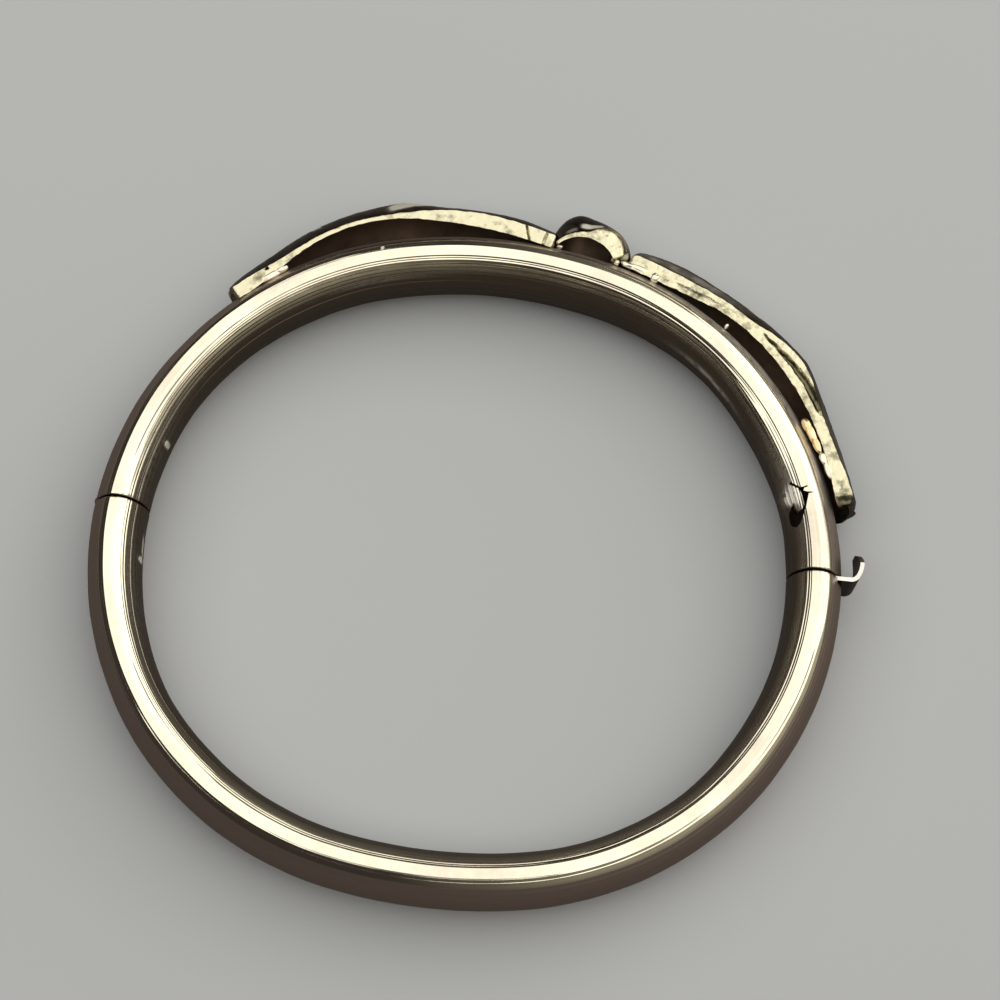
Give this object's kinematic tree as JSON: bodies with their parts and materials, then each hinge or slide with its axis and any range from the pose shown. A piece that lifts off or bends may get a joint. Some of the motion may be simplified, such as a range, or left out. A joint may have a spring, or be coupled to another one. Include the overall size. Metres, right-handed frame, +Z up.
{
  "type": "hinged bangle",
  "caption": "Oval hinged bangle of hollow gilt metal tube with a soldered leaf-and-knob ornament, a folded-spring clasp with a thumb tab, and a torn patch near the clasp.",
  "frame": {"origin": "centre of the oval's widest line, on the plane that the bangle rests on", "axes": "+X from the hinge to the clasp, +Y to the front with the ornament, +Z up along the axis of the wrist opening"},
  "size_m": [0.0685, 0.0647, 0.0079],
  "materials": {
    "gilt_tube": "worn pale gilding, polished lengthwise",
    "bare_brass": "dull, tarnished",
    "spring_brass": "gilt, smooth",
    "steel_pin": "drawn wire, dulled"
  },
  "bodies": {
    "back": {"back_half": "gilt_tube", "hinge_plug_back": "bare_brass", "hinge_pin": "steel_pin", "clasp_tongue": "spring_brass"},
    "front": {"front_half": "gilt_tube", "hinge_plug_front": "bare_brass", "catch_plate": "bare_brass"},
    "thumb": {"thumb_leaf": "spring_brass"}
  },
  "joints": [
    {"name": "band_hinge", "type": "hinge", "parent": "back", "child": "front", "pos_m": [-0.03273, 0.0019, 0.00395], "axis": [0, 0, 1], "range_deg": [0, 60]},
    {"name": "thumb_press", "type": "hinge", "parent": "back", "child": "thumb", "pos_m": [0.03024, 0.0069, 0.00395], "axis": [0, 0, 1], "range_deg": [-4, 0], "stiffness_Nm_per_rad": 0.02}
  ]
}
